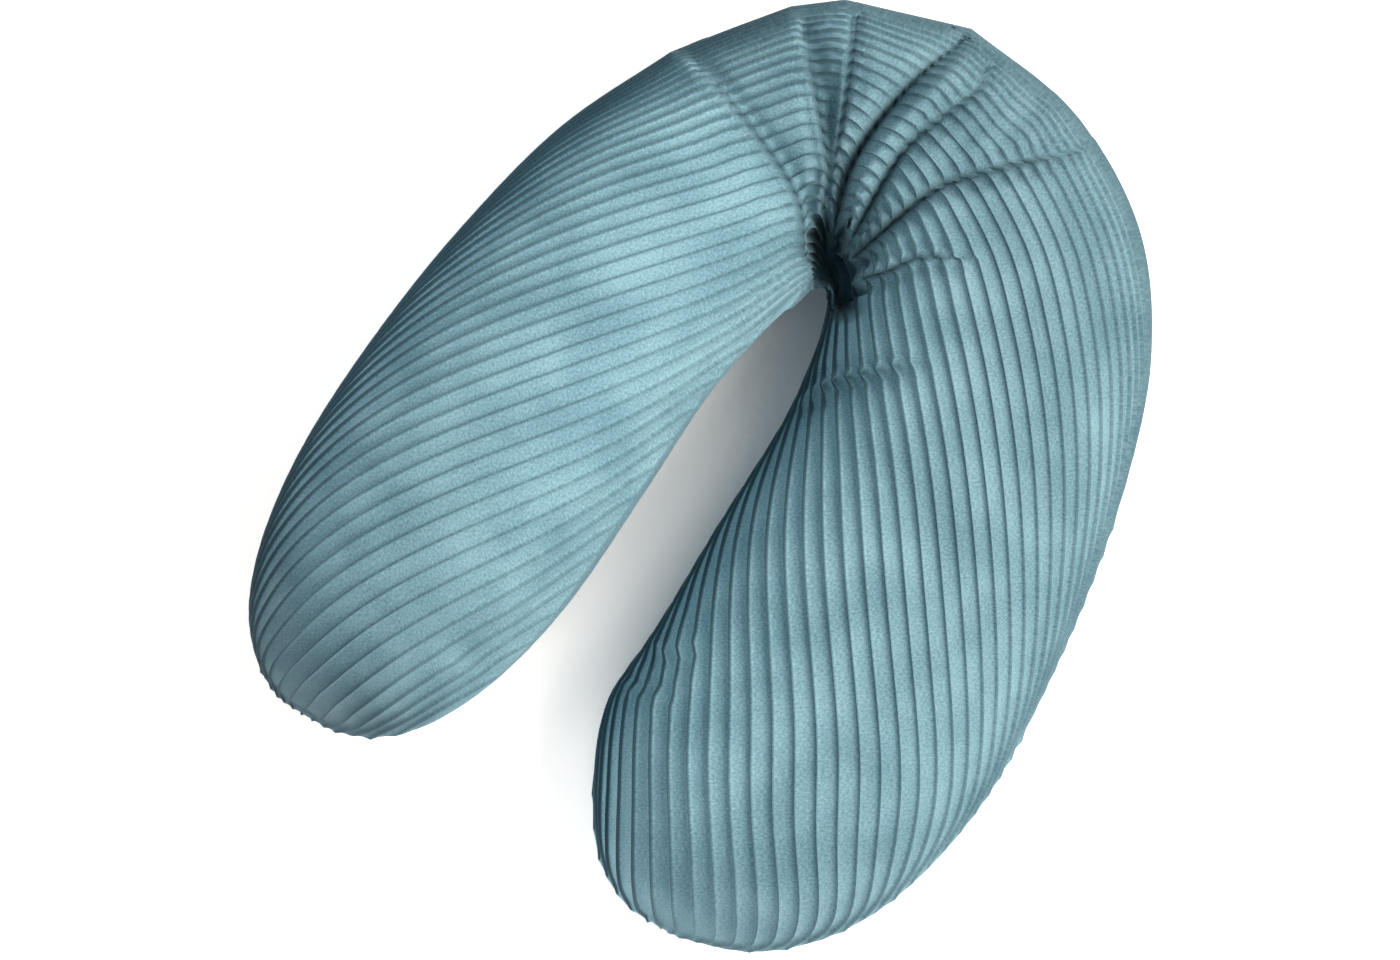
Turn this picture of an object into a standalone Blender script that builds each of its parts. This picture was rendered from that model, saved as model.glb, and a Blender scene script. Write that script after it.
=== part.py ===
"""Pregnancy pillow: a filled crescent of wide-wale corduroy, bent into a U and lying on a flat surface.

Two crescent panels, an upper and a lower one, are sewn together round their edge and filled. The wales run
parallel to the crescent's chord, so on each arm they drift from the outer edge to the inner one. Bending the
crescent into a U gathers its middle into folds that fan out from the notch between the arms.

The tables are in millimetres, in plan, with the notch at x = 0, y = 0 and the arms pointing towards -Y. The
finished pillow stands on z = 0 with its box centred on the Z axis.
"""

import math
from typing import NamedTuple

import bmesh
import bpy
import numpy as np

MM = 0.001

# The raised wales, in millimetres
WALE_HEIGHT = 5.4
WALE_FLATNESS = 2.6
WALE_ROUNDNESS = 0.6
STANDING_HEIGHT = 8.0
FLAT_AT_SEAM = 0.65
FULL_HEIGHT_FROM_SEAM = 14.0

# How the filled section is shaped: an exponent of 2 is an ellipse, and more is squarer
SIDE_FULLNESS = 2.25
CROWN_FULLNESS = 2.05
DROP_PER_LEVEL = 1.2

# The seam draws the cloth in, by this much and over this width, where the section is wide enough
SEAM_PINCH = 5.0
SEAM_PINCH_WIDTH = 9.0
PINCHED_HALF_GIRTH = 60.0

# Mesh steps, in millimetres along the crown, and samples for reading the tables
ARM_STEP = 36.0
BEND_STEP = 13.0
LINES_PER_WALE = 2
SECTION_SAMPLES = 90
TABLE_SAMPLES = 2401
MERGE_DISTANCE = 0.02
NEARLY_NOTHING = 1e-6

CLOTH_COLOUR = (0.155, 0.335, 0.405, 1.0)
CLOTH_ROUGHNESS = 0.9
SHARP_ANGLE = 15.0


class Section(NamedTuple):
    """A cut across the pillow, in millimetres, from its outer side to its inner side.

    level is the height of the widest line, rise is how far the crown is above it, and seam_out and seam_in
    are how far the seam has rolled up from that line, in degrees round the section. lean is the angle of the
    wales to the arm's axis, in degrees. wale is a wale's width on the crown, which grows as the filling
    stretches the cloth, and crowding is how much closer the wales lie towards the outer side. A corner is a
    row where a fold kinks the outer edge.
    """

    outer_x: float
    outer_y: float
    inner_x: float
    inner_y: float
    level: float
    rise: float
    seam_out: float
    seam_in: float
    lean: float
    wale: float
    crowding: float
    corner: bool = False


# From the left arm's tip, round the bend, to the right arm's tip
SECTIONS = (
    Section(-178, -506, -178, -506, 62, 0, 0, 0, 12, 14.6, 0.00),
    Section(-207, -503, -150, -503, 66, 34, -4, 4, 15, 14.6, 0.00),
    Section(-237, -484, -117, -486, 76, 70, -10, 10, 19, 14.6, 0.02),
    Section(-262, -447, -86, -452, 88, 104, -16, 14, 23, 14.6, 0.05),
    Section(-279, -388, -61, -398, 98, 128, -22, 18, 28, 14.6, 0.09),
    Section(-286, -310, -44, -318, 104, 139, -26, 20, 32, 14.2, 0.13),
    Section(-281, -210, -38, -216, 106, 142, -26, 20, 34, 13.2, 0.16),
    Section(-267, -108, -34, -120, 106, 140, -24, 18, 31, 12.3, 0.17),
    Section(-241, 0, -22, -52, 104, 136, -22, 14, 22, 11.5, 0.16),
    Section(-195, 100, -12, -14, 102, 128, -18, 8, 2, 11.0, 0.12, True),
    Section(-134, 177, -9, -4, 98, 122, -14, 4, -8, 11.0, 0.08, True),
    Section(-100, 204, -6, 2, 96, 122, -12, 0, 14, 11.0, 0.06, True),
    Section(-2, 236, 3, 6, 94, 124, -12, -6, 5, 11.6, 0.05, True),
    Section(102, 221, 9, 3, 92, 124, -12, -12, -2, 12.2, 0.06),
    Section(192, 170, 13, -4, 92, 124, -10, -16, -12, 12.8, 0.08),
    Section(251, 92, 18, -18, 92, 122, -8, -20, -21, 13.3, 0.10),
    Section(285, 2, 25, -46, 92, 122, -6, -22, -29, 13.8, 0.12),
    Section(308, -108, 32, -108, 92, 122, -4, -24, -34, 14.5, 0.12),
    Section(319, -210, 30, -206, 92, 122, -2, -24, -36, 15.5, 0.09),
    Section(320, -292, 30, -298, 90, 120, 0, -22, -35, 16.0, 0.03),
    Section(305, -372, 27, -372, 86, 114, 2, -18, -33, 16.4, -0.04),
    Section(277, -434, 50, -432, 78, 100, 2, -14, -29, 17.4, -0.08),
    Section(232, -480, 84, -480, 70, 70, 2, -8, -24, 18.0, -0.06),
    Section(180, -502, 119, -502, 62, 34, 0, -4, -20, 18.0, 0.00),
    Section(150, -506, 150, -506, 58, 0, 0, 0, -18, 18.0, 0.00),
)
BEND_FROM_ROW = 8.0
BEND_TO_ROW = 16.0


class Fold(NamedTuple):
    """A valley in the upper panel, in millimetres, along a path in plan from the notch outwards.

    Its depth goes from deep_in at the notch end to deep_out at the far end. It widens to left and to right of
    the path, seen along it, so that two unlike widths make a step.
    """

    path: tuple
    deep_in: float
    deep_out: float
    left: float
    right: float


FOLDS = (
    # Tuck beside the left arm, where the arm bulges over the bend
    Fold(((-26, 12), (-50, 42), (-100, 66), (-186, 98)), 30, 12, 6, 46),
    # The smooth wedge's far edge, and the crease behind it
    Fold(((-30, 46), (-42, 74), (-70, 108), (-114, 158)), 30, 12, 12, 10),
    Fold(((-30, 60), (-44, 92), (-66, 146), (-84, 190)), 26, 12, 9, 12),
    # The deep fold that reaches the outer edge
    Fold(((-4, 20), (-24, 70), (-28, 110), (-21, 160), (-4, 222)), 62, 16, 15, 12),
    # Shorter folds that fan out towards the right arm
    Fold(((2, 30), (0, 99), (6, 134), (26, 183)), 44, 6, 11, 11),
    Fold(((10, 30), (34, 96), (56, 126), (92, 162), (114, 186)), 46, 8, 12, 12),
    Fold(((22, 16), (38, 32), (52, 50), (82, 68)), 24, 5, 10, 9),
    Fold(((34, -88), (46, -64), (70, -40), (94, -18)), 16, 5, 9, 11),
)
FOLD_SHARPNESS = 1.4
FOLD_SHALLOWING = 0.7
FOLD_TAPER = 22.0
PATH_SAMPLES = 9
# Folds start this high and this far from the seam, and are full over this share of the height above
FOLD_FLOOR = 62.0
FOLD_FROM_SEAM = 30.0
FOLD_FULL_SHARE = 0.7


def smoothstep(value):
    """Rise smoothly from 0 to 1 as value goes from 0 to 1."""
    inside = np.clip(value, 0.0, 1.0)
    return inside * inside * (3.0 - 2.0 * inside)


def through_rows(rows, corners, at):
    """Values at the row numbers in at, on curves through the rows that turn sharply at the corner rows."""
    ahead = np.diff(rows, axis=0)
    leaving = np.zeros_like(rows)
    leaving[1:-1] = 0.5 * (rows[2:] - rows[:-2])
    leaving[0] = ahead[0]
    leaving[-1] = ahead[-1]
    arriving = leaving.copy()
    for row in np.flatnonzero(corners):
        leaving[row] = ahead[row]
        arriving[row] = ahead[row - 1]
    first = np.clip(np.floor(at).astype(int), 0, len(rows) - 2)
    t = (at - first)[:, None]
    return (
        (2 * t**3 - 3 * t**2 + 1) * rows[first]
        + (t**3 - 2 * t**2 + t) * leaving[first]
        + (3 * t**2 - 2 * t**3) * rows[first + 1]
        + (t**3 - t**2) * arriving[first + 1]
    )


def lengths_along(points):
    """Distance from the first point to each point, along the line through them."""
    steps = np.linalg.norm(np.diff(points, axis=0), axis=1)
    return np.concatenate([[0.0], np.cumsum(steps)])


def sections_at(at):
    """The section table's edges in plan and its other columns, at the row numbers in at."""
    table = np.array([row[:11] for row in SECTIONS], float)
    corners = np.array([row.corner for row in SECTIONS])
    outer = through_rows(table[:, 0:2], corners, at)
    rest = through_rows(table[:, 2:11], np.zeros(len(table), bool), at)
    rest[:, 3] = np.maximum(rest[:, 3], 0.0)
    return outer, rest[:, 0:2], *rest[:, 2:].T


def stations():
    """Row numbers of the mesh's cuts, and how far along the crown each one is."""
    fine = np.linspace(0.0, len(SECTIONS) - 1.0, TABLE_SAMPLES)
    outer, inner, level, rise, *_ = sections_at(fine)
    crown = np.column_stack([(outer + inner) / 2, level + rise])
    along = lengths_along(crown)
    in_bend = smoothstep(fine - BEND_FROM_ROW) * smoothstep(BEND_TO_ROW - fine)
    step = ARM_STEP + (BEND_STEP - ARM_STEP) * in_bend
    count = np.concatenate([[0.0], np.cumsum(np.diff(along) / step[1:])])
    wanted = np.linspace(0.0, count[-1], round(count[-1]) + 1)
    rows = np.interp(wanted, count, fine)
    return rows, np.interp(rows, fine, along)


def section_ring(outer, inner, level, rise, seam_out, seam_in):
    """Points round one section: over the top from the outer seam to the inner one, then back underneath."""
    over = np.linspace(seam_out, 180.0 - seam_in, SECTION_SAMPLES, endpoint=False)
    under = np.linspace(180.0 - seam_in, 360.0 + seam_out, SECTION_SAMPLES, endpoint=False)
    angle = np.radians(np.concatenate([over, under]))
    across = np.sign(np.cos(angle)) * np.abs(np.cos(angle)) ** (2.0 / SIDE_FULLNESS)
    lift = np.sign(np.sin(angle)) * np.abs(np.sin(angle)) ** (2.0 / CROWN_FULLNESS)
    height = np.where(lift > 0, rise * lift, DROP_PER_LEVEL * min(level, rise) * lift)
    plan = (outer + inner) / 2 + across[:, None] * (outer - inner) / 2
    return np.column_stack([plan, np.maximum(level + height, 0.0)])


def outward(rings):
    """The directions out of the filled form at its rings' points."""
    normal = np.cross(np.gradient(rings, axis=0), np.roll(rings, -1, axis=1) - np.roll(rings, 1, axis=1))
    size = np.linalg.norm(normal, axis=2, keepdims=True)
    return np.divide(normal, size, out=np.zeros_like(normal), where=size > NEARLY_NOTHING)


def fold_depth(plan):
    """How deep the folds are at each point in plan."""
    depth = np.zeros(len(plan))
    for fold in FOLDS:
        knots = np.array(fold.path, float)
        at = np.linspace(0.0, len(knots) - 1.0, PATH_SAMPLES * (len(knots) - 1) + 1)
        line = through_rows(knots, np.zeros(len(knots), bool), at)
        along = lengths_along(line)
        nearest = np.full(len(plan), np.inf)
        side = np.zeros(len(plan))
        place = np.zeros(len(plan))
        for k in range(len(line) - 1):
            length = along[k + 1] - along[k]
            run = (line[k + 1] - line[k]) / length
            offset = plan - line[k]
            forward = np.clip(offset @ run, 0.0, length)
            away = np.linalg.norm(offset - forward[:, None] * run, axis=1)
            closer = away < nearest
            nearest[closer] = away[closer]
            side[closer] = (run[0] * offset[:, 1] - run[1] * offset[:, 0])[closer]
            place[closer] = along[k] + forward[closer]
        share = place / along[-1]
        past = ((share <= 0.0) | (share >= 1.0)) * nearest / FOLD_TAPER
        width = np.where(side > 0, fold.left, fold.right)
        deep = fold.deep_in + (fold.deep_out - fold.deep_in) * share**FOLD_SHALLOWING
        valley = np.exp(-((nearest / width) ** FOLD_SHARPNESS))
        depth = np.maximum(depth, deep * valley * (1.0 - smoothstep(past)))
    return depth


def wale_ridge(number):
    """Height of the wales, from 0 in a groove to 1 on a ridge, at places counted in wales from a ridge."""
    from_ridge = 2.0 * np.abs(number - np.round(number))
    return (1.0 - from_ridge**WALE_FLATNESS) ** WALE_ROUNDNESS


def panel_points(rings, normal, along, spread, upper):
    """Points of one panel as an array of stations by wale lines."""
    lean, wale, crowding = spread
    lean = np.radians(lean)
    drift_rate = np.sin(lean) / wale
    drift = np.concatenate([[0.0], np.cumsum(np.diff(along) * (drift_rate[1:] + drift_rate[:-1]) / 2)])
    per_mm = np.cos(lean) / wale
    over = np.arange(SECTION_SAMPLES + 1)
    order = over if upper else -over
    half = np.array([lengths_along(ring[over])[-1] / 2 for ring in rings])
    lowest = np.floor((drift - half * per_mm * (1.0 - crowding)).min())
    highest = np.ceil((drift + half * per_mm * (1.0 + crowding)).max())
    lines = np.arange(lowest, highest + NEARLY_NOTHING, 1.0 / LINES_PER_WALE)

    points = np.zeros((len(rings), len(lines), 3))
    for i, ring in enumerate(rings):
        path = ring[order]
        length = lengths_along(path)
        width = max(half[i], NEARLY_NOTHING)
        reach = (lines - drift[i]) / per_mm[i]
        bowed = np.sqrt(np.maximum(1.0 + 4.0 * crowding[i] * reach / width, 0.0))
        across = np.clip(2.0 * reach / (1.0 + bowed), -half[i], half[i])
        number = drift[i] + per_mm[i] * (across + crowding[i] * across**2 / width)
        place = (half[i] - across) / (2.0 * width) * length[-1]
        base = np.column_stack([np.interp(place, length, path[:, k]) for k in range(3)])
        out = np.column_stack([np.interp(place, length, normal[i, order, k]) for k in range(3)])

        to_seam = np.minimum(place, length[-1] - place)
        standing = smoothstep(base[:, 2] / STANDING_HEIGHT)
        near_seam = 1.0 - FLAT_AT_SEAM * (1.0 - smoothstep(to_seam / FULL_HEIGHT_FROM_SEAM))
        swell = WALE_HEIGHT * standing * (wale_ridge(number) * near_seam - 0.5)
        pinch = SEAM_PINCH * np.exp(-to_seam / SEAM_PINCH_WIDTH) * smoothstep(half[i] / PINCHED_HALF_GIRTH)
        base = base + (swell - pinch)[:, None] * out
        if upper:
            room = FOLD_FULL_SHARE * (ring[:, 2].max() - FOLD_FLOOR)
            high = smoothstep((base[:, 2] - FOLD_FLOOR) / max(room, 1.0))
            base[:, 2] -= fold_depth(base[:, :2]) * high * smoothstep(to_seam / FOLD_FROM_SEAM)
        base[:, 2] = np.maximum(base[:, 2], 0.0)
        points[i] = base
    return points


def add_panel(mesh, points):
    """Lay a grid over a panel's points."""
    stations_count, lines_count, _ = points.shape
    grid = bmesh.ops.create_grid(mesh, x_segments=lines_count - 1, y_segments=stations_count - 1, size=1.0)
    for vertex, place in zip(grid["verts"], points.reshape(-1, 3)):
        vertex.co = place * MM


def cloth_material():
    """Plush corduroy in a soft teal blue."""
    material = bpy.data.materials.new("plush_corduroy")
    material.use_nodes = True
    shader = material.node_tree.nodes["Principled BSDF"]
    shader.inputs["Base Color"].default_value = CLOTH_COLOUR
    shader.inputs["Roughness"].default_value = CLOTH_ROUGHNESS
    shader.inputs["Metallic"].default_value = 0.0
    material.diffuse_color = CLOTH_COLOUR
    return material


def make_pillow():
    """Both panels and their filling, as one solid centred over the origin."""
    rows, along = stations()
    outer, inner, level, rise, seam_out, seam_in, *spread = sections_at(rows)
    shapes = zip(outer, inner, level, rise, seam_out, seam_in)
    rings = np.array([section_ring(*shape) for shape in shapes])
    normal = outward(rings)
    mesh = bmesh.new()
    for upper in (True, False):
        add_panel(mesh, panel_points(rings, normal, along, spread, upper))
    bmesh.ops.remove_doubles(mesh, verts=mesh.verts, dist=MERGE_DISTANCE * MM)
    bmesh.ops.triangulate(mesh, faces=mesh.faces)
    bmesh.ops.recalc_face_normals(mesh, faces=mesh.faces)
    places = np.array([vertex.co for vertex in mesh.verts])
    low = places.min(axis=0)
    high = places.max(axis=0)
    centre = (low + high) / 2
    bmesh.ops.translate(mesh, verts=mesh.verts, vec=(-centre[0], -centre[1], -low[2]))
    data = bpy.data.meshes.new("pillow")
    mesh.to_mesh(data)
    mesh.free()
    data.materials.append(cloth_material())
    data.shade_smooth()
    data.set_sharp_from_angle(angle=math.radians(SHARP_ANGLE))
    pillow = bpy.data.objects.new("pillow", data)
    bpy.context.scene.collection.objects.link(pillow)
    return pillow


def main():
    """Clear the scene and model the pillow."""
    for item in list(bpy.data.objects):
        bpy.data.objects.remove(item, do_unlink=True)
    make_pillow()


main()
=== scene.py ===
"""Looks of a crescent pregnancy pillow in wide-wale plush corduroy, bent into a U and lying on a pale floor.

The pillow is two crescent panels sewn round their edge and filled. Each panel is a grid whose lines run along
the wales, mapped on to the filled form, with a line in every groove. The wales are parallel to the crescent's
chord, so on the arms they drift from the outer edge to the inner one, and the bend gathers them into folds.

The tables are in millimetres, in plan, with the notch between the arms at x = 0, y = 0.
"""

import logging
import math
from dataclasses import dataclass
from enum import Enum
from typing import Any, NamedTuple

import bmesh
import bpy
import numpy as np
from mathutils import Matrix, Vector


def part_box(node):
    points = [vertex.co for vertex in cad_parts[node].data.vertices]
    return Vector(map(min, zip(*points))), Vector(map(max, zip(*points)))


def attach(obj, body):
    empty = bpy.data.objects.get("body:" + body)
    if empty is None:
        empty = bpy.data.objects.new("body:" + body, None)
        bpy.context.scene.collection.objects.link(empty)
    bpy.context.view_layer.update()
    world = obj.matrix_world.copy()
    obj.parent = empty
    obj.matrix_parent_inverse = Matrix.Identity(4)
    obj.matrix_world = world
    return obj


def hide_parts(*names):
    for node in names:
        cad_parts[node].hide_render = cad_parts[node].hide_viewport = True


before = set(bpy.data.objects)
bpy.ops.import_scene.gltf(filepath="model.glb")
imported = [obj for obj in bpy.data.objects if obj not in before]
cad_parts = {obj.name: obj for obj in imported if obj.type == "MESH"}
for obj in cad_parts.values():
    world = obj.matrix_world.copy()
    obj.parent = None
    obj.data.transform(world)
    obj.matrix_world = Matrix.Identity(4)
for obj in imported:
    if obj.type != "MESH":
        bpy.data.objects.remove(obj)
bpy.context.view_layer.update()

log = logging.getLogger("pregnancy_pillow")
Points = np.ndarray

MM = 0.001
# Keeps a division by a tip's width, which is nothing, from failing
TINY = 1e-9
NODE = "pillow"
# Pixels across the photo, and millimetres on the pillow for each
PHOTO_WIDTH = 1400
PHOTO_SCALE = 0.8


class Panel(Enum):
    """The two panels that are sewn together."""

    UPPER = "upper"
    LOWER = "lower"


class Section(NamedTuple):
    """A cut across the pillow, in millimetres, from its outer side to its inner side.

    level is the height of the widest line, rise is how far the crown is above it, and seam_out and seam_in
    are how far the seam has rolled up from that line, in degrees round the section. lean is the angle of the
    wales to the arm's axis, in degrees. wale is a wale's width on the crown, which grows as the filling
    stretches the cloth, and crowding is how much closer the wales lie towards the outer side. A corner is a
    row where a fold kinks the outer edge.
    """

    outer_x: float
    outer_y: float
    inner_x: float
    inner_y: float
    level: float
    rise: float
    seam_out: float
    seam_in: float
    lean: float
    wale: float
    crowding: float
    corner: bool = False


# From the left arm's tip, round the bend, to the right arm's tip
SECTIONS = (
    Section(-178, -506, -178, -506, 62, 0, 0, 0, 12, 14.6, 0.00),
    Section(-207, -503, -150, -503, 66, 34, -4, 4, 15, 14.6, 0.00),
    Section(-237, -484, -117, -486, 76, 70, -10, 10, 19, 14.6, 0.02),
    Section(-262, -447, -86, -452, 88, 104, -16, 14, 23, 14.6, 0.05),
    Section(-279, -388, -61, -398, 98, 128, -22, 18, 28, 14.6, 0.09),
    Section(-286, -310, -44, -318, 104, 139, -26, 20, 32, 14.2, 0.13),
    Section(-281, -210, -38, -216, 106, 142, -26, 20, 34, 13.2, 0.16),
    Section(-267, -108, -34, -120, 106, 140, -24, 18, 31, 12.3, 0.17),
    Section(-241, 0, -22, -52, 104, 136, -22, 14, 22, 11.5, 0.16),
    Section(-195, 100, -12, -14, 102, 128, -18, 8, 2, 11.0, 0.12, True),
    Section(-134, 177, -9, -4, 98, 122, -14, 4, -8, 11.0, 0.08, True),
    Section(-100, 204, -6, 2, 96, 122, -12, 0, 14, 11.0, 0.06, True),
    Section(-2, 236, 3, 6, 94, 124, -12, -6, 5, 11.6, 0.05, True),
    Section(102, 221, 9, 3, 92, 124, -12, -12, -2, 12.2, 0.06),
    Section(192, 170, 13, -4, 92, 124, -10, -16, -12, 12.8, 0.08),
    Section(251, 92, 18, -18, 92, 122, -8, -20, -21, 13.3, 0.10),
    Section(285, 2, 25, -46, 92, 122, -6, -22, -29, 13.8, 0.12),
    Section(308, -108, 32, -108, 92, 122, -4, -24, -34, 14.5, 0.12),
    Section(319, -210, 30, -206, 92, 122, -2, -24, -36, 15.5, 0.09),
    Section(320, -292, 30, -298, 90, 120, 0, -22, -35, 16.0, 0.03),
    Section(305, -372, 27, -372, 86, 114, 2, -18, -33, 16.4, -0.04),
    Section(277, -434, 50, -432, 78, 100, 2, -14, -29, 17.4, -0.08),
    Section(232, -480, 84, -480, 70, 70, 2, -8, -24, 18.0, -0.06),
    Section(180, -502, 119, -502, 62, 34, 0, -4, -20, 18.0, 0.00),
    Section(150, -506, 150, -506, 58, 0, 0, 0, -18, 18.0, 0.00),
)


class Fold(NamedTuple):
    """A valley in the upper panel, in millimetres, along a path in plan from the notch outwards.

    Its depth goes from deep_in at the notch end to deep_out at the far end. It widens to left and to right of
    the path, seen along it, so that two unlike widths make a step. slip is how far the wales on its left have
    slid outwards along it, and those on its right inwards, which kinks them. grip is how much of their height
    the crease takes, which rounds them off on both sides of it. An edge above 1 makes a sharp crease with
    rounded shoulders, and one below 1 a pit with steep walls.
    """

    path: tuple[tuple[float, float], ...]
    deep_in: float
    deep_out: float
    left: float
    right: float
    slip: float
    grip: float
    edge: float = 2.4


FOLDS = (
    # Tuck beside the left arm, where the arm bulges over the bend
    Fold(((-26, 12), (-50, 42), (-100, 66), (-186, 98)), 36, 13, 6, 60, 1.0, 1.0, 1.6),
    # The smooth wedge's far edge, and the crease behind it
    Fold(((-30, 46), (-42, 74), (-70, 108), (-114, 158)), 40, 20, 6, 28, 1.0, 1.0, 1.3),
    Fold(((-30, 60), (-44, 92), (-66, 146), (-84, 190)), 34, 14, 9, 10, -3.0, 1.0),
    # The deep fold that reaches the outer edge, and the pit at its foot
    Fold(((-4, 20), (-24, 70), (-28, 110), (-21, 160), (-4, 222)), 90, 18, 17, 15, 1.0, 1.0),
    Fold(((20, -2), (2, 16), (-18, 36)), 100, 100, 18, 18, 0.0, 0.6, 0.4),
    # Shorter folds that fan out towards the right arm
    Fold(((2, 30), (0, 99), (6, 134), (26, 183), (24, 212)), 50, 5, 12, 12, -3.0, 1.0),
    Fold(((10, 30), (34, 96), (56, 126), (92, 162), (114, 186)), 50, 8, 13, 13, -3.0, 1.0),
    Fold(((22, 16), (38, 32), (52, 50), (82, 68)), 24, 5, 9, 9, -2.5, 0.9),
    Fold(((34, -88), (46, -64), (70, -40), (94, -18)), 16, 4, 9, 9, -1.5, 0.9),
    # Ripples beyond them, towards the outer edge
    Fold(((60, 152), (66, 182), (73, 214)), 4, 4, 14, 14, -2.5, 0.0, 1.0),
    Fold(((94, 170), (108, 190), (120, 204)), 4, 4, 14, 14, -2.5, 0.0, 1.0),
    Fold(((34, 136), (42, 168), (46, 196)), 3, 3, 12, 12, 2.0, 0.0, 1.0),
    # Gather on the right arm's inner side
    Fold(((22, -318), (38, -316), (58, -302)), 12, 2, 9, 9, -5.0, 0.3),
    Fold(((20, -352), (36, -352), (56, -342)), 10, 2, 9, 9, 4.5, 0.3),
    # Dimples on the left arm's inner side
    Fold(((-54, -340), (-68, -352), (-88, -356)), 6, 3, 10, 10, 2.5, 0.0, 1.2),
    Fold(((-60, -384), (-76, -392), (-96, -392)), 6, 3, 10, 10, -2.5, 0.0, 1.2),
)


def linear_from_hex(code: str) -> tuple[float, float, float, float]:
    """Turn an sRGB hex colour into linear values.

    Args:
        code: The colour, such as "#6f9aa8".

    Returns:
        Red, green and blue in linear light, and an alpha of 1.
    """
    channels = [int(code[i : i + 2], 16) / 255.0 for i in (1, 3, 5)]
    red, green, blue = (c / 12.92 if c <= 0.04045 else ((c + 0.055) / 1.055) ** 2.4 for c in channels)
    return red, green, blue, 1.0


def smoothstep(value: Points) -> Points:
    """Rise smoothly from 0 to 1 as value goes from 0 to 1."""
    inside = np.clip(value, 0.0, 1.0)
    return inside * inside * (3.0 - 2.0 * inside)


def through_rows(rows: Points, corners: Points, at: Points) -> Points:
    """Read smooth curves through table rows.

    Args:
        rows: The table, a row for each place.
        corners: Which rows the curves turn sharply at.
        at: Row numbers to read, with fractions.

    Returns:
        The values at each row number.
    """
    ahead = np.diff(rows, axis=0)
    leaving = np.zeros_like(rows)
    leaving[1:-1] = 0.5 * (rows[2:] - rows[:-2])
    leaving[0] = ahead[0]
    leaving[-1] = ahead[-1]
    arriving = leaving.copy()
    for row in np.flatnonzero(corners):
        leaving[row] = ahead[row]
        arriving[row] = ahead[row - 1]
    first = np.clip(np.floor(at).astype(int), 0, len(rows) - 2)
    t = (at - first)[:, None]
    return (
        (2 * t**3 - 3 * t**2 + 1) * rows[first]
        + (t**3 - 2 * t**2 + t) * leaving[first]
        + (3 * t**2 - 2 * t**3) * rows[first + 1]
        + (t**3 - t**2) * arriving[first + 1]
    )


def lengths_along(points: Points) -> Points:
    """Distance from the first point to each point, along the line through them."""
    steps = np.linalg.norm(np.diff(points, axis=0), axis=1)
    return np.concatenate([[0.0], np.cumsum(steps)])


def add_node(
    tree: bpy.types.NodeTree,
    kind: str,
    settings: dict[str, Any] | None = None,
    inputs: dict[str | int, Any] | None = None,
) -> bpy.types.Node:
    """Add a shader node with its settings, values and links.

    Args:
        tree: The node tree to add to.
        kind: The node's type name in Blender.
        settings: Properties of the node itself.
        inputs: Values for its sockets, or output sockets to link to them.

    Returns:
        The new node.
    """
    node = tree.nodes.new(kind)
    for name, value in (settings or {}).items():
        setattr(node, name, value)
    for name, value in (inputs or {}).items():
        if isinstance(value, bpy.types.NodeSocket):
            tree.links.new(value, node.inputs[name])
        else:
            node.inputs[name].default_value = value
    return node


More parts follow.
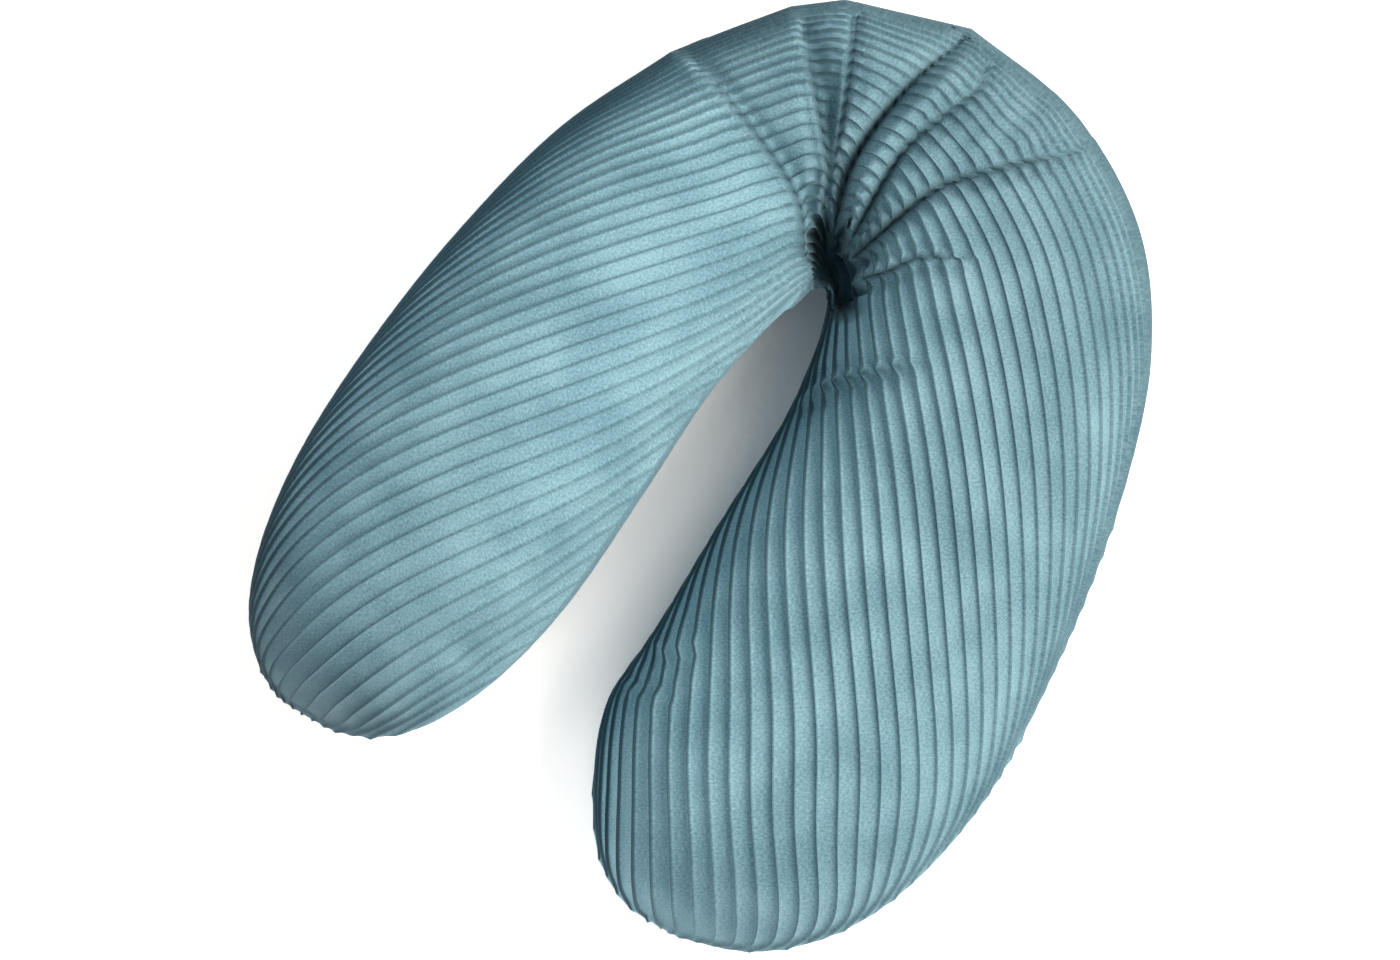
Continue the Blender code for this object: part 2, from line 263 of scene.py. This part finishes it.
@dataclass(frozen=True)
class PlushCorduroy:
    """Jumbo plush corduroy: polyester pile woven in cords over a flat ground, then cut and brushed.

    The cut tufts scatter the light, so the wales' tops look soft and matt, with a pale bloom at a low angle.
    In the grooves the pile parts and the darker ground shows, with painted shade that is deepest on the side
    turned from the light. Creases and deep folds get painted shade in the same colour, and the lightness
    along the crescent and on each side is painted light and shade.
    """

    light: str = "#8fb4bf"
    middle: str = "#799eab"
    deep: str = "#628794"
    # The ground's colour, which also serves as painted shade in the grooves, creases and deep folds
    ground_and_shade: str = "#223f4a"
    bloom: str = "#a6c8d3"
    pitch: float = 14.0 * MM
    # A groove runs between these shares of the way from a wale's ridge to the line halfway to the next
    groove_from: float = 0.8
    groove_to: float = 0.96
    # Tufts lie about 1.7 mm apart along a wale and reach 2.3 mm across it
    tuft_along: float = 1.7 * MM
    tuft_across: float = 2.3 * MM
    tuft_detail: float = 3.0
    tuft_roughness: float = 0.6
    tuft_relief: float = 0.6 * MM
    tuft_relief_strength: float = 0.4
    # Hands and packing stroke the pile one way or another over patches of about 60 mm
    stroke_patch: float = 60.0 * MM
    stroke_detail: float = 2.0
    stroke_roughness: float = 0.5
    stroke_contrast: float = 0.6
    # The noise values that the deep and light colours stand at are this far from the middle one's
    colour_spread: float = 0.2
    # Painted light and shade along the crescent, which lightens one arm and darkens the tips: share of its
    # length, and lightness
    crescent_length: float = 1.45
    painted_tone_along: tuple[tuple[float, float], ...] = (
        (0.0, 0.40),
        (0.07, 0.54),
        (0.20, 1.06),
        (0.38, 1.14),
        (0.46, 0.90),
        (0.56, 0.83),
        (0.70, 0.91),
        (0.92, 0.98),
        (1.0, 0.80),
    )
    # Between these turns to the light, from -1 to 1, the grooves' dark colour, partly painted shade, fades
    # down to a share, so it is deepest on the side turned from the light
    groove_light_from: float = -0.6
    groove_light_to: float = 0.4
    lit_groove_share: float = 0.3
    # Painted light between these turns: the side turned from the light is lifted, and the lit side dimmed a
    # little
    full_lift_to: float = -0.9
    no_lift_from: float = 0.3
    shaded_side_lift: float = 1.42
    lit_side_level: float = 0.94
    roughness: float = 0.88
    specular: float = 0.2
    sheen: float = 0.5
    sheen_roughness: float = 0.5

    def tufts(self, tree: bpy.types.NodeTree, cloth: bpy.types.NodeSocket) -> bpy.types.NodeSocket:
        """Scatter the tufts.

        Args:
            tree: The node tree.
            cloth: Places on the flat cloth, in metres.

        Returns:
            Noise from 0 to 1, a tuft to each grain.
        """
        grain = (1.0 / self.tuft_along, 1.0 / self.tuft_across, 1.0 / self.tuft_across)
        stretched = add_node(
            tree, "ShaderNodeVectorMath", {"operation": "MULTIPLY"}, {0: cloth, 1: grain}
        )
        noise = add_node(
            tree,
            "ShaderNodeTexNoise",
            inputs={
                "Vector": stretched.outputs[0],
                "Scale": 1.0,
                "Detail": self.tuft_detail,
                "Roughness": self.tuft_roughness,
            },
        )
        return noise.outputs["Fac"]

    def pile_colour(
        self, tree: bpy.types.NodeTree, cloth: bpy.types.NodeSocket, tufts: bpy.types.NodeSocket
    ) -> bpy.types.NodeSocket:
        """Colour the pile by its tufts and by the patches that it was stroked in.

        Args:
            tree: The node tree.
            cloth: Places on the flat cloth, in metres.
            tufts: The tufts' noise.

        Returns:
            The pile's colour.
        """
        strokes = add_node(
            tree,
            "ShaderNodeTexNoise",
            inputs={
                "Vector": cloth,
                "Scale": 1.0 / self.stroke_patch,
                "Detail": self.stroke_detail,
                "Roughness": self.stroke_roughness,
            },
        )
        tone = add_node(
            tree,
            "ShaderNodeMath",
            {"operation": "MULTIPLY_ADD"},
            {0: strokes.outputs["Fac"], 1: self.stroke_contrast, 2: -self.stroke_contrast / 2},
        )
        mottle = add_node(tree, "ShaderNodeMath", {"operation": "ADD"}, {0: tufts, 1: tone.outputs[0]})
        pile = add_node(tree, "ShaderNodeValToRGB", inputs={"Fac": mottle.outputs[0]})
        first, last = pile.color_ramp.elements
        first.position = 0.5 - self.colour_spread
        first.color = linear_from_hex(self.deep)
        last.position = 0.5 + self.colour_spread
        last.color = linear_from_hex(self.light)
        pile.color_ramp.elements.new(0.5).color = linear_from_hex(self.middle)
        return pile.outputs["Color"]

    def painted_light_level(
        self, tree: bpy.types.NodeTree, along: bpy.types.NodeSocket, turn: bpy.types.NodeSocket
    ) -> bpy.types.NodeSocket:
        """Work out the painted light and shade, along the crescent and by side.

        Args:
            tree: The node tree.
            along: Metres along the crescent.
            turn: How far a place is turned towards the light, from -1 to 1.

        Returns:
            A factor for the colour.
        """
        share = add_node(
            tree, "ShaderNodeMath", {"operation": "DIVIDE"}, {0: along, 1: self.crescent_length}
        )
        # The curve node stops at 1, so it holds half of each lightness
        lightness_curve = add_node(tree, "ShaderNodeFloatCurve", inputs={"Value": share.outputs[0]})
        curve = lightness_curve.mapping.curves[0]
        for point, place in zip(curve.points, (self.painted_tone_along[0], self.painted_tone_along[-1])):
            point.location = (place[0], place[1] / 2)
        for place in self.painted_tone_along[1:-1]:
            curve.points.new(place[0], place[1] / 2)
        lightness_curve.mapping.update()
        level = add_node(tree, "ShaderNodeMath", {"operation": "MULTIPLY"}, {0: lightness_curve.outputs[0], 1: 2.0})
        # Painted light that lifts the side turned from the light
        side = add_node(
            tree,
            "ShaderNodeMapRange",
            {"interpolation_type": "SMOOTHSTEP"},
            {
                "Value": turn,
                "From Min": self.full_lift_to,
                "From Max": self.no_lift_from,
                "To Min": self.shaded_side_lift,
                "To Max": self.lit_side_level,
            },
        )
        both = add_node(
            tree, "ShaderNodeMath", {"operation": "MULTIPLY"}, {0: level.outputs[0], 1: side.outputs[0]}
        )
        return both.outputs[0]

    def parted_pile_and_shade(
        self, tree: bpy.types.NodeTree, across: bpy.types.NodeSocket, turn: bpy.types.NodeSocket
    ) -> bpy.types.NodeSocket:
        """Find how much of the dark colour shows: the ground and painted shade in the grooves, and painted
        shade in the creases and deep folds.

        Args:
            tree: The node tree.
            across: Metres across the wales.
            turn: How far a place is turned towards the light, from -1 to 1.

        Returns:
            How much of the dark colour shows, from 0 to 1.
        """
        wale = add_node(tree, "ShaderNodeMath", {"operation": "DIVIDE"}, {0: across, 1: self.pitch / 2})
        phase = add_node(tree, "ShaderNodeMath", {"operation": "PINGPONG"}, {0: wale.outputs[0], 1: 1.0})
        # Painted shade: the grooves are darkest on the side turned from the light
        groove_shade_by_side = add_node(
            tree,
            "ShaderNodeMapRange",
            {"interpolation_type": "SMOOTHSTEP"},
            {
                "Value": turn,
                "From Min": self.groove_light_from,
                "From Max": self.groove_light_to,
                "To Min": 1.0,
                "To Max": self.lit_groove_share,
            },
        )
        groove = add_node(
            tree,
            "ShaderNodeMapRange",
            {"interpolation_type": "SMOOTHSTEP"},
            {
                "Value": phase.outputs[0],
                "From Min": self.groove_from,
                "From Max": self.groove_to,
                "To Max": groove_shade_by_side.outputs[0],
            },
        )
        # Painted shade of the creases and deep folds
        crease = add_node(tree, "ShaderNodeAttribute", {"attribute_name": "crease"})
        parted_and_shaded = add_node(
            tree, "ShaderNodeMath", {"operation": "MAXIMUM"}, {0: groove.outputs[0], 1: crease.outputs["Fac"]}
        )
        return parted_and_shaded.outputs[0]

    def build(self) -> bpy.types.Material:
        """Make the material.

        It follows two attributes. pattern holds the place along and across the wales in metres of flat cloth,
        and how far that place is turned towards the light, from -1 to 1, which sets painted light and shade.
        crease is 1 in the deepest creases and deep folds, and paints shade there.

        Returns:
            The material.
        """
        material = bpy.data.materials.new("plush_corduroy")
        material.use_nodes = True
        tree = material.node_tree
        shader = tree.nodes["Principled BSDF"]
        pattern = add_node(tree, "ShaderNodeAttribute", {"attribute_name": "pattern"}).outputs["Vector"]
        split = add_node(tree, "ShaderNodeSeparateXYZ", inputs={"Vector": pattern})
        along, across, turn = (split.outputs[axis] for axis in "XYZ")
        flat = add_node(
            tree, "ShaderNodeVectorMath", {"operation": "MULTIPLY"}, {0: pattern, 1: (1.0, 1.0, 0.0)}
        )
        tufts = self.tufts(tree, flat.outputs[0])
        cloth = add_node(
            tree,
            "ShaderNodeMix",
            {"data_type": "RGBA"},
            {
                0: self.parted_pile_and_shade(tree, across, turn),
                6: self.pile_colour(tree, flat.outputs[0], tufts),
                7: linear_from_hex(self.ground_and_shade),
            },
        )
        # The colour is scaled by painted light and shade along the crescent and by side
        cloth_in_painted_light = add_node(
            tree,
            "ShaderNodeVectorMath",
            {"operation": "SCALE"},
            {0: cloth.outputs[2], "Scale": self.painted_light_level(tree, along, turn)},
        )
        tree.links.new(cloth_in_painted_light.outputs[0], shader.inputs["Base Color"])
        relief = add_node(
            tree,
            "ShaderNodeBump",
            inputs={"Strength": self.tuft_relief_strength, "Distance": self.tuft_relief, "Height": tufts},
        )
        tree.links.new(relief.outputs["Normal"], shader.inputs["Normal"])
        shader.inputs["Roughness"].default_value = self.roughness
        shader.inputs["Specular IOR Level"].default_value = self.specular
        shader.inputs["Sheen Weight"].default_value = self.sheen
        shader.inputs["Sheen Roughness"].default_value = self.sheen_roughness
        shader.inputs["Sheen Tint"].default_value = linear_from_hex(self.bloom)
        return material


class Beside(NamedTuple):
    """Where places in plan lie by a fold: how far away, on which side, how far along it and its heading.

    side is 1 on the left of the fold's path, seen along it, and -1 on the right. share goes from 0 to 1.
    """

    away: Points
    side: Points
    share: Points
    heading: Points


class Folding(NamedTuple):
    """What the folds do at each place.

    depth is how far the cloth sinks and slip how far it slides in plan, in millimetres. kept is the share of
    the wales' height that is left. creased and shaded say how far each place lies in a crease and in a deep
    fold, from 0 to 1, and so how much painted shade it gets.
    """

    depth: Points
    slip: Points
    kept: Points
    creased: Points
    shaded: Points


@dataclass
class Pillow:
    """The filled crescent: its section shape, its wales, its seam and its folds. Sizes are in millimetres."""

    wale_pitch: float = 14.0
    wale_height: float = 4.6
    # The wale's rounded top, and how it flattens at the floor and towards the seam
    wale_flatness: float = 5.0
    wale_roundness: float = 0.5
    standing_height: float = 8.0
    flat_at_seam: float = 0.5
    full_from_seam: float = 14.0
    # Direction in plan towards the window light, which the cloth's painted light and shade follow
    light_from: tuple[float, float] = (0.86, 0.51)
    # An exponent of 2 makes an elliptical section, and more a squarer one
    side_fullness: float = 2.25
    crown_fullness: float = 2.05
    drop_per_level: float = 1.2
    seam_pinch: float = 5.0
    seam_pinch_width: float = 9.0
    # Past its ends a fold dies away over fold_taper, and its depth along it goes by a power of the share
    fold_taper: float = 22.0
    fold_shallowing: float = 0.7
    # Folds start this high and this far from the seam, and are full over this share of the height above
    fold_floor: float = 62.0
    fold_from_seam: float = 20.0
    fold_full_share: float = 0.7
    # The wales slip within this distance of a fold, and reach the whole of it after this share of its length
    slip_width: float = 12.0
    slip_starts: float = 0.25
    # A crease flattens the wales this close to it, and fades out over a share of its length
    grip_width: float = 4.2
    grip_ends: float = 0.22
    # On the wales' ridges a crease's painted shade is this much of what it is between them
    crease_on_ridge: float = 0.55
    # Folds deeper than this get painted shade at the bottom
    shade_from: float = 40.0
    shade_to: float = 80.0
    # Beside a crease the wales' ends bulge like beads, by this share of their height
    pucker: float = 0.8
    pucker_from: float = 9.0
    pucker_width: float = 5.0
    arm_step: float = 9.0
    bend_step: float = 2.2
    tip_step: float = 2.5
    tip_reach: float = 90.0
    bend_from_row: float = 8.4
    bend_to_row: float = 15.6
    row_samples: int = 4801
    section_samples: int = 150
    path_samples: int = 16
    # Where a wale's lines lie, in wales from its ridge: one in the groove, the rest over the rounded top
    upper_lines: tuple[float, ...] = (-0.5, -0.465, -0.41, -0.28, 0.0, 0.28, 0.41, 0.465)
    lower_lines: tuple[float, ...] = (-0.5, -0.3, 0.3)
    weld: float = 0.02

    def sections_at(self, at: Points) -> tuple[Points, ...]:
        """Read the section table.

        Args:
            at: Row numbers to read, with fractions.

        Returns:
            The outer and inner edge in plan, level, rise, the seams' two turns, lean, wale and crowding.
        """
        table = np.array([row[:11] for row in SECTIONS], float)
        corners = np.array([row.corner for row in SECTIONS])
        outer = through_rows(table[:, 0:2], corners, at)
        rest = through_rows(table[:, 2:11], np.zeros(len(table), bool), at)
        rest[:, 3] = np.maximum(rest[:, 3], 0.0)
        return outer, rest[:, 0:2], *rest[:, 2:].T

    def stations(self) -> tuple[Points, Points]:
        """Place the mesh's cuts, closer together in the bend and at the tips.

        Returns:
            The cuts' row numbers, and how far along the crown each one is.
        """
        fine = np.linspace(0.0, len(SECTIONS) - 1.0, self.row_samples)
        outer, inner, level, rise, *_ = self.sections_at(fine)
        along = lengths_along(np.column_stack([(outer + inner) / 2, level + rise]))
        in_bend = smoothstep(fine - self.bend_from_row) * smoothstep(self.bend_to_row - fine)
        step = self.arm_step + (self.bend_step - self.arm_step) * in_bend
        to_tip = np.minimum(along, along[-1] - along)
        step = self.tip_step + (step - self.tip_step) * smoothstep(to_tip / self.tip_reach)
        count = np.concatenate([[0.0], np.cumsum(np.diff(along) / step[1:])])
        rows = np.interp(np.linspace(0.0, count[-1], round(count[-1]) + 1), count, fine)
        return rows, np.interp(rows, fine, along)

    def ring(
        self, outer: Points, inner: Points, level: float, rise: float, out: float, within: float
    ) -> Points:
        """Shape one section.

        Args:
            outer: The outer edge in plan.
            inner: The inner edge in plan.
            level: Height of the widest line.
            rise: Height of the crown above it.
            out: How far the outer seam has rolled up, in degrees.
            within: How far the inner seam has rolled up, in degrees.

        Returns:
            Points over the top from the outer seam to the inner one, then back underneath.
        """
        half = self.section_samples
        over = np.linspace(out, 180.0 - within, half, endpoint=False)
        under = np.linspace(180.0 - within, 360.0 + out, half, endpoint=False)
        angle = np.radians(np.concatenate([over, under]))
        across = np.sign(np.cos(angle)) * np.abs(np.cos(angle)) ** (2.0 / self.side_fullness)
        lift = np.sign(np.sin(angle)) * np.abs(np.sin(angle)) ** (2.0 / self.crown_fullness)
        height = np.where(lift > 0, rise * lift, self.drop_per_level * min(level, rise) * lift)
        plan = (outer + inner) / 2 + across[:, None] * (outer - inner) / 2
        return np.column_stack([plan, np.maximum(level + height, 0.0)])

    def outward(self, rings: Points) -> Points:
        """Find which way the cloth faces.

        Args:
            rings: The sections' points, as stations by places round them.

        Returns:
            A unit vector outwards for each point. At a tip all of them point along the arm.
        """
        round_ring = np.roll(rings, -1, axis=1) - np.roll(rings, 1, axis=1)
        normal = np.cross(np.gradient(rings, axis=0), round_ring)
        size = np.linalg.norm(normal, axis=2, keepdims=True)
        normal = np.divide(normal, size, out=np.zeros_like(normal), where=size > 1e-6)
        for tip, beside in ((0, 1), (-1, -2)):
            outwards = rings[tip].mean(axis=0) - rings[beside].mean(axis=0)
            normal[tip] = outwards / np.linalg.norm(outwards)
        return normal

    def beside(self, fold: Fold, plan: Points) -> Beside:
        """Measure where places lie by a fold.

        Args:
            fold: The fold.
            plan: Places in plan.

        Returns:
            Their distances, sides, shares of its length and headings.
        """
        knots = np.array(fold.path, float)
        at = np.linspace(0.0, len(knots) - 1.0, self.path_samples * (len(knots) - 1) + 1)
        line = through_rows(knots, np.zeros(len(knots), bool), at)
        along = lengths_along(line)
        nearest = np.full(len(plan), np.inf)
        side = np.zeros(len(plan))
        place = np.zeros(len(plan))
        heading = np.zeros_like(plan)
        for k, length in enumerate(np.diff(along)):
            run = (line[k + 1] - line[k]) / length
            offset = plan - line[k]
            forward = np.clip(offset @ run, 0.0, length)
            away = np.linalg.norm(offset - forward[:, None] * run, axis=1)
            closer = away < nearest
            nearest[closer] = away[closer]
            side[closer] = np.sign(run[0] * offset[:, 1] - run[1] * offset[:, 0])[closer]
            place[closer] = along[k] + forward[closer]
            heading[closer] = run
        return Beside(nearest, side, place / along[-1], heading)

    def folded(self, plan: Points) -> Folding:
        """Fold the upper panel.

        Args:
            plan: Places in plan.

        Returns:
            What all the folds together do there.
        """
        depth = np.zeros(len(plan))
        slip = np.zeros_like(plan)
        kept = np.ones(len(plan))
        creased = np.zeros(len(plan))
        for fold in FOLDS:
            away, side, share, heading = self.beside(fold, plan)
            past = ((share <= 0.0) | (share >= 1.0)) * away / self.fold_taper
            fade = 1.0 - smoothstep(past)
            reach = np.clip(away / np.where(side > 0, fold.left, fold.right), 0.0, 1.0)
            deep = fold.deep_in + (fold.deep_out - fold.deep_in) * share**self.fold_shallowing
            depth = np.maximum(depth, deep * (1.0 - reach) ** fold.edge * fade)

            near = np.exp(-away / self.slip_width)
            eased = fold.grip + (1.0 - fold.grip) * smoothstep(away / self.slip_width)
            slid = fold.slip * side * eased * near * fade * smoothstep(share / self.slip_starts)
            slip += slid[:, None] * heading

            grip = fold.grip * fade * smoothstep((1.0 - share) / self.grip_ends)
            crease = grip * np.exp(-((away / self.grip_width) ** 2))
            puckered = grip * np.exp(-(((away - self.pucker_from) / self.pucker_width) ** 2))
            kept *= 1.0 - crease + self.pucker * puckered
            # A crease's grip also sets its painted shade
            creased = np.maximum(creased, crease)
        # Painted shade at the bottom of deep folds
        shaded = smoothstep((depth - self.shade_from) / (self.shade_to - self.shade_from))
        return Folding(depth, slip, kept, creased, shaded)

    def panel_points(self, panel: Panel) -> tuple[Points, Points, Points]:
        """Map a panel's wale lines on to the filled form.

        The lines run along the wales, and drift across the sections as the wales lean. Past a seam they are
        held on it, where the doubled points are merged later.

        Args:
            panel: Which panel.

        Returns:
            The points, their places and turns towards the light for the pattern, and the painted shade of
            creases and deep folds at each, all as arrays of stations by wale lines.
        """
        rows, along = self.stations()
        *shape, lean, wale, crowding = self.sections_at(rows)
        rings = np.array([self.ring(*values) for values in zip(*shape)])
        normal = self.outward(rings)

        outwards = shape[0] - shape[1]
        width = np.maximum(np.linalg.norm(outwards, axis=1), TINY)
        facing = outwards @ np.array(self.light_from) / width
        lean = np.radians(lean)
        steps = np.diff(along)
        per_step = (np.sin(lean) / wale)[:-1] + (np.sin(lean) / wale)[1:]
        drift = np.concatenate([[0.0], np.cumsum(steps * per_step / 2)])
        chord = np.concatenate([[0.0], np.cumsum(steps * np.cos((lean[1:] + lean[:-1]) / 2))])
        per_mm = np.cos(lean) / wale
        over = np.arange(self.section_samples + 1)
        half = np.array([lengths_along(ring[over])[-1] / 2 for ring in rings])
        lowest = np.floor((drift - half * per_mm * (1.0 - crowding)).min())
        highest = np.ceil((drift + half * per_mm * (1.0 + crowding)).max())
        in_wale = np.array(self.upper_lines if panel is Panel.UPPER else self.lower_lines)
        lines = (np.arange(lowest, highest + 1)[:, None] + in_wale).ravel()

        order = over if panel is Panel.UPPER else -over
        points = np.zeros((len(rings), len(lines), 3))
        pattern = np.zeros((len(rings), len(lines), 3))
        crease = np.zeros((len(rings), len(lines)))
        for i, ring in enumerate(rings):
            path = ring[order]
            length = lengths_along(path)
            edge = max(half[i], TINY)
            reach = (lines - drift[i]) / per_mm[i]
            bowed = 1.0 + 4.0 * crowding[i] * reach / edge
            across = np.clip(2.0 * reach / (1.0 + np.sqrt(np.maximum(bowed, 0.0))), -half[i], half[i])
            number = drift[i] + per_mm[i] * (across + crowding[i] * across**2 / edge)
            place = (half[i] - across) / max(2.0 * half[i], TINY) * length[-1]
            base = np.column_stack([np.interp(place, length, path[:, k]) for k in range(3)])
            out = np.column_stack([np.interp(place, length, normal[i, order, k]) for k in range(3)])
            to_seam = np.minimum(place, length[-1] - place)
            pattern[i, :, 0] = (chord[i] - across * math.sin(lean[i])) * MM
            pattern[i, :, 1] = number * self.wale_pitch * MM
            # How far the place is turned towards the light, for painted light and shade
            pattern[i, :, 2] = across / edge * facing[i]

            from_ridge = np.abs(2.0 * (number - np.round(number)))
            ridge = (1.0 - from_ridge**self.wale_flatness) ** self.wale_roundness
            ridge *= 1.0 - self.flat_at_seam * (1.0 - smoothstep(to_seam / self.full_from_seam))
            if panel is Panel.UPPER:
                room = self.fold_full_share * (ring[:, 2].max() - self.fold_floor)
                high = smoothstep((base[:, 2] - self.fold_floor) / max(room, 1.0))
                high *= smoothstep(to_seam / self.fold_from_seam)
                fold = self.folded(base[:, :2])
                ridge *= 1.0 + (fold.kept - 1.0) * high
                beaded = fold.creased * (self.crease_on_ridge + (1.0 - self.crease_on_ridge) * from_ridge)
                # Painted shade of the creases and deep folds
                crease[i] = np.maximum(beaded, fold.shaded) * high
            swell = self.wale_height * smoothstep(base[:, 2] / self.standing_height) * (ridge - 0.5)
            pinch = self.seam_pinch * np.exp(-to_seam / self.seam_pinch_width)
            base = base + (swell - pinch)[:, None] * out
            if panel is Panel.UPPER:
                base[:, 2] -= fold.depth * high
                base[:, :2] += fold.slip * high[:, None]
            base[:, 2] = np.maximum(base[:, 2], 0.0)
            points[i] = base
        return points, pattern, crease

    def add_panel(self, mesh: bmesh.types.BMesh, panel: Panel) -> None:
        """Lay a grid over a panel.

        Args:
            mesh: The mesh to add to.
            panel: Which panel.
        """
        points, pattern, crease = self.panel_points(panel)
        pattern_layer = mesh.verts.layers.float_vector["pattern"]
        crease_layer = mesh.verts.layers.float["crease"]
        stations, lines, _ = points.shape
        grid = bmesh.ops.create_grid(mesh, x_segments=lines - 1, y_segments=stations - 1, size=1.0)["verts"]
        columns = points.reshape(-1, 3) * MM, pattern.reshape(-1, 3), crease.ravel()
        for vertex, place, flat, creased in zip(grid, *columns):
            vertex.co = place
            vertex[pattern_layer] = flat
            vertex[crease_layer] = creased

    def build(self) -> bpy.types.Object:
        """Sew the two panels and dress them in corduroy.

        Returns:
            The pillow, with its box centred on the solid's.
        """
        mesh = bmesh.new()
        mesh.verts.layers.float_vector.new("pattern")
        mesh.verts.layers.float.new("crease")
        for panel in Panel:
            self.add_panel(mesh, panel)
        bmesh.ops.remove_doubles(mesh, verts=mesh.verts, dist=self.weld * MM)
        bmesh.ops.recalc_face_normals(mesh, faces=mesh.faces)
        places = np.array([vertex.co for vertex in mesh.verts])
        low, high = (Vector(corner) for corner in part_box(NODE))
        shift = (low + high) / 2 - Vector((places.min(axis=0) + places.max(axis=0)) / 2)
        shift.z = 0.0
        bmesh.ops.translate(mesh, verts=mesh.verts, vec=shift)
        data = bpy.data.meshes.new("corduroy_pillow")
        mesh.to_mesh(data)
        mesh.free()
        data.shade_smooth()
        data.materials.append(PlushCorduroy().build())
        pillow = bpy.data.objects.new("corduroy_pillow", data)
        bpy.context.scene.collection.objects.link(pillow)
        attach(pillow, "root")
        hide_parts(NODE)
        log.info("pillow: %d faces", len(data.polygons))
        return pillow


@dataclass(frozen=True)
class WhiteSweep:
    """White paper sweep, matt from its uncoated pulp, which glows with painted light where nothing stands
    close by.

    The painted glow washes the paper out to pure white, and where it stays off, close round the pillow, it
    leaves a soft painted shadow over the shadow that the lights cast.
    """

    colour: str = "#f7f7f7"
    roughness: float = 0.95
    specular: float = 0.1
    glow: float = 0.64
    glow_colour: str = "#fff6f0"
    # How open the floor has to be for the glow to start and to be full, from 0 to 1, looking this many metres
    glow_reach: float = 0.35
    glow_from: float = 0.24
    glow_to: float = 0.46
    glow_samples: int = 8

    def build(self) -> bpy.types.Material:
        """Make the material.

        Returns:
            The material.
        """
        material = bpy.data.materials.new("white_paper_sweep")
        material.use_nodes = True
        tree = material.node_tree
        shader = tree.nodes["Principled BSDF"]
        # Painted light: the floor glows where it is open
        openness = add_node(
            tree, "ShaderNodeAmbientOcclusion", {"samples": self.glow_samples}, {"Distance": self.glow_reach}
        )
        glow = add_node(
            tree,
            "ShaderNodeMapRange",
            {"interpolation_type": "SMOOTHSTEP"},
            {
                "Value": openness.outputs["AO"],
                "From Min": self.glow_from,
                "From Max": self.glow_to,
                "To Max": self.glow,
            },
        )
        tree.links.new(glow.outputs[0], shader.inputs["Emission Strength"])
        shader.inputs["Emission Color"].default_value = linear_from_hex(self.glow_colour)
        shader.inputs["Base Color"].default_value = linear_from_hex(self.colour)
        shader.inputs["Roughness"].default_value = self.roughness
        shader.inputs["Specular IOR Level"].default_value = self.specular
        return material


@dataclass
class Studio:
    """A white floor, soft light from the right and a camera straight above. Sizes are in metres."""

    camera_height: float = 2.7
    subject_height: float = 0.1
    sensor_width: float = 36.0
    # How far the pillow is turned in the picture, in degrees
    picture_turn: float = 31.0
    # The picture's middle from the notch, in millimetres
    picture_middle: tuple[float, float] = (-5.4, -180.6)
    # The notch from the middle of the pillow's box, in millimetres
    notch: tuple[float, float] = (-17.2, 134.5)
    floor_reach: float = 6.0
    # The window's place from the picture's middle: to the right, up the picture, and above the floor
    window_place: tuple[float, float, float] = (1.4, 0.1, 1.95)
    window_power: float = 59.5
    window_size: float = 1.2
    window_colour: str = "#fff6ec"
    room_fill: float = 0.59
    room_colour: str = "#f4fbff"

    def middle(self) -> Vector:
        """The point on the floor under the camera."""
        place = [(a + b) * MM for a, b in zip(self.picture_middle, self.notch)]
        return Vector((*place, 0.0))

    def build_floor(self) -> None:
        """Lay a pale matt floor, which glows with painted light away from the pillow."""
        mesh = bmesh.new()
        bmesh.ops.create_grid(mesh, x_segments=1, y_segments=1, size=self.floor_reach)
        data = bpy.data.meshes.new("floor")
        mesh.to_mesh(data)
        mesh.free()
        data.materials.append(WhiteSweep().build())
        floor = bpy.data.objects.new("floor", data)
        bpy.context.scene.collection.objects.link(floor)
        log.info("floor laid")

    def build_lights(self) -> None:
        """Hang a soft window light to the right, pointed at the pillow, and let the room fill in."""
        turn = math.radians(self.picture_turn)
        right = Vector((math.cos(turn), math.sin(turn), 0.0))
        upwards = Vector((-math.sin(turn), math.cos(turn), 0.0))
        to_right, up_picture, above = self.window_place
        offset = right * to_right + upwards * up_picture + Vector((0.0, 0.0, above))
        light = bpy.data.lights.new("window_light", "AREA")
        light.shape = "SQUARE"
        light.size = self.window_size
        light.energy = self.window_power
        light.color = linear_from_hex(self.window_colour)[:3]
        window = bpy.data.objects.new("window_light", light)
        window.location = self.middle() + offset
        window.rotation_euler = (-offset).to_track_quat("-Z", "Y").to_euler()
        bpy.context.scene.collection.objects.link(window)
        world = bpy.data.worlds.new("studio_fill")
        world.use_nodes = True
        background = world.node_tree.nodes["Background"]
        background.inputs["Color"].default_value = linear_from_hex(self.room_colour)
        background.inputs["Strength"].default_value = self.room_fill
        bpy.context.scene.world = world
        log.info("lights hung")

    def build_camera(self) -> None:
        """Look straight down, with the picture turned as the photo is."""
        camera = bpy.data.cameras.new("camera")
        camera.sensor_width = self.sensor_width
        reach = self.camera_height - self.subject_height
        camera.lens = camera.sensor_width * reach / (PHOTO_WIDTH * PHOTO_SCALE * MM)
        eye = bpy.data.objects.new("camera", camera)
        eye.location = self.middle() + Vector((0.0, 0.0, self.camera_height))
        eye.rotation_euler = (0.0, 0.0, math.radians(self.picture_turn))
        bpy.context.scene.collection.objects.link(eye)
        bpy.context.scene.camera = eye
        log.info("camera placed for a picture %d pixels wide", PHOTO_WIDTH)


def main() -> None:
    """Build the studio and the pillow."""
    logging.basicConfig(level=logging.INFO, format="%(name)s: %(message)s")
    bpy.context.scene.view_settings.view_transform = "Standard"
    studio = Studio()
    studio.build_camera()
    studio.build_lights()
    studio.build_floor()
    Pillow().build()


if __name__ == "__main__":
    main()
